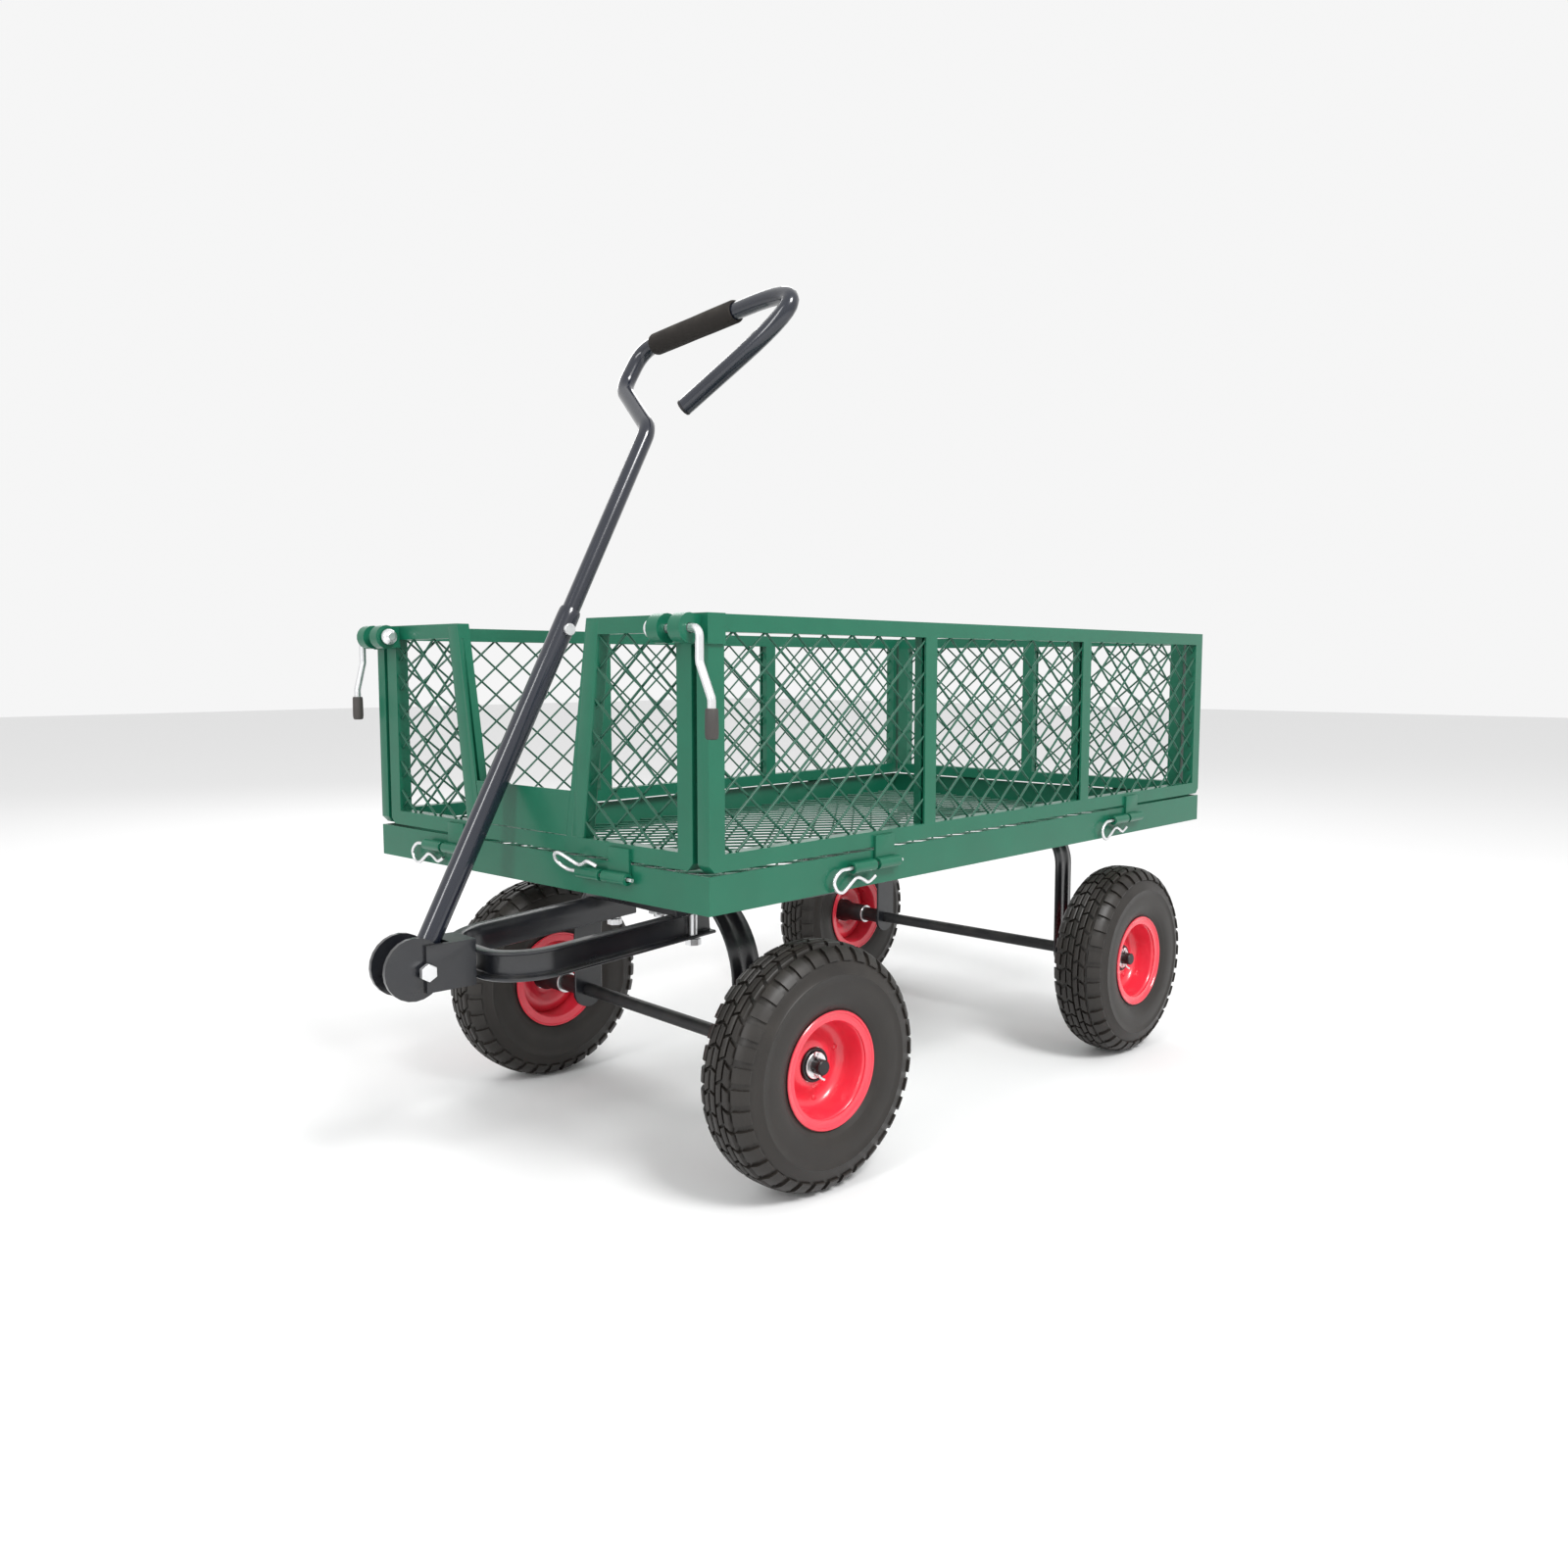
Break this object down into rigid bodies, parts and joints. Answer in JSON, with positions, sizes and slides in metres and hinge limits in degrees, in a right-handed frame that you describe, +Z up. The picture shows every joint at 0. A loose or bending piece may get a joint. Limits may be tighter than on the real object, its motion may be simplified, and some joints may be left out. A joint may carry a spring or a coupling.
{
  "type": "garden cart",
  "caption": "Steel garden cart with fold-down mesh sides, pneumatic wheels, turntable steering and a bent pull handle.",
  "frame": {"origin": "on the ground, below the middle of the whole cart with its handle parked", "axes": "+X towards the tail end, away from the handle; +Y towards the far long side; +Z up"},
  "size_m": [1.164, 0.622, 0.9391],
  "materials": {
    "green_paint": "satin green powder coat",
    "green_wire": "green coated wire",
    "black_paint": "semi-gloss black powder coat",
    "handle_paint": "gloss blue-black powder coat",
    "red_paint": "gloss red paint",
    "zinc_plate": "bright zinc plate",
    "tyre_rubber": "moulded rubber",
    "black_steel": "black steel",
    "foam": "closed-cell foam",
    "sleeve_rubber": "matt vinyl sleeve"
  },
  "bodies": {
    "bed": {"base_frame": "green_paint", "floor_mesh": "green_wire", "front_bolster": "black_paint", "r_clip_near_1": "zinc_plate", "r_clip_near_2": "zinc_plate", "r_clip_far_1": "zinc_plate", "r_clip_far_2": "zinc_plate", "r_clip_front_1": "zinc_plate", "r_clip_front_2": "zinc_plate", "r_clip_rear_1": "zinc_plate", "r_clip_rear_2": "zinc_plate", "rear_axle_strap": "black_paint", "rear_axle": "zinc_plate", "front_panel": "green_paint", "front_mesh": "green_wire", "front_plate": "green_paint"},
    "side_near": {"side_panel_near": "green_paint", "side_mesh_near": "green_wire"},
    "side_far": {"side_panel_far": "green_paint", "side_mesh_far": "green_wire"},
    "rear_gate": {"rear_panel": "green_paint", "rear_mesh": "green_wire"},
    "latch_near": {"latch_lever_near": "zinc_plate", "latch_nut_near": "zinc_plate", "latch_sleeve_near": "sleeve_rubber"},
    "latch_far": {"latch_lever_far": "zinc_plate", "latch_nut_far": "zinc_plate", "latch_sleeve_far": "sleeve_rubber"},
    "steering": {"turntable_plate": "black_steel", "front_axle_strap": "black_paint", "front_axle": "zinc_plate", "steering_crosspiece": "black_paint", "kingpin": "zinc_plate", "drawbar": "black_paint", "drawbar_bolt_near": "zinc_plate", "drawbar_bolt_far": "zinc_plate", "tongue_bracket": "black_paint", "pivot_bolt": "zinc_plate"},
    "handle": {"handle_lower_tube": "handle_paint", "handle_upper_tube": "handle_paint", "handle_grip": "foam", "handle_end_plug": "black_steel", "handle_join_button": "zinc_plate"},
    "wheel_rear_near": {"tyre_rear_near": "tyre_rubber", "rim_rear_near": "red_paint", "hub_rear_near": "black_steel"},
    "wheel_rear_far": {"tyre_rear_far": "tyre_rubber", "rim_rear_far": "red_paint", "hub_rear_far": "black_steel"},
    "wheel_front_near": {"tyre_front_near": "tyre_rubber", "rim_front_near": "red_paint", "hub_front_near": "black_steel"},
    "wheel_front_far": {"tyre_front_far": "tyre_rubber", "rim_front_far": "red_paint", "hub_front_far": "black_steel"}
  },
  "joints": [
    {"name": "side_near_fold", "type": "hinge", "parent": "bed", "child": "side_near", "pos_m": [0.07197, -0.2905, 0.334], "axis": [1, 0, 0], "range_deg": [0, 165]},
    {"name": "side_far_fold", "type": "hinge", "parent": "bed", "child": "side_far", "pos_m": [0.07197, 0.2905, 0.334], "axis": [-1, 0, 0], "range_deg": [0, 165]},
    {"name": "rear_gate_fold", "type": "hinge", "parent": "bed", "child": "rear_gate", "pos_m": [0.57597, 0, 0.334], "axis": [0, 1, 0], "range_deg": [0, 180]},
    {"name": "latch_near_turn", "type": "hinge", "parent": "side_near", "child": "latch_near", "pos_m": [-0.44153, -0.284, 0.57], "axis": [0, 1, 0], "range_deg": [0, 120]},
    {"name": "latch_far_turn", "type": "hinge", "parent": "side_far", "child": "latch_far", "pos_m": [-0.44153, 0.284, 0.57], "axis": [0, 1, 0], "range_deg": [0, 120]},
    {"name": "steering_turn", "type": "hinge", "parent": "bed", "child": "steering", "pos_m": [-0.23363, 0, 0.295], "axis": [0, 0, 1], "range_deg": [-10.5, 19.5]},
    {"name": "handle_drop", "type": "hinge", "parent": "steering", "child": "handle", "pos_m": [-0.5387, 0.0238, 0.234], "axis": [-0.0778, -0.997, 0], "range_deg": [0, 118]},
    {"name": "wheel_rear_near_spin", "type": "hinge", "parent": "bed", "child": "wheel_rear_near", "pos_m": [0.39597, -0.254, 0.129], "axis": [0, 1, 0], "continuous": true},
    {"name": "wheel_rear_far_spin", "type": "hinge", "parent": "bed", "child": "wheel_rear_far", "pos_m": [0.39597, 0.254, 0.129], "axis": [0, 1, 0], "continuous": true},
    {"name": "wheel_front_near_spin", "type": "hinge", "parent": "steering", "child": "wheel_front_near", "pos_m": [-0.25338, -0.25323, 0.129], "axis": [0.0778, 0.997, 0], "continuous": true},
    {"name": "wheel_front_far_spin", "type": "hinge", "parent": "steering", "child": "wheel_front_far", "pos_m": [-0.21388, 0.25323, 0.129], "axis": [0.0778, 0.997, 0], "continuous": true}
  ]
}
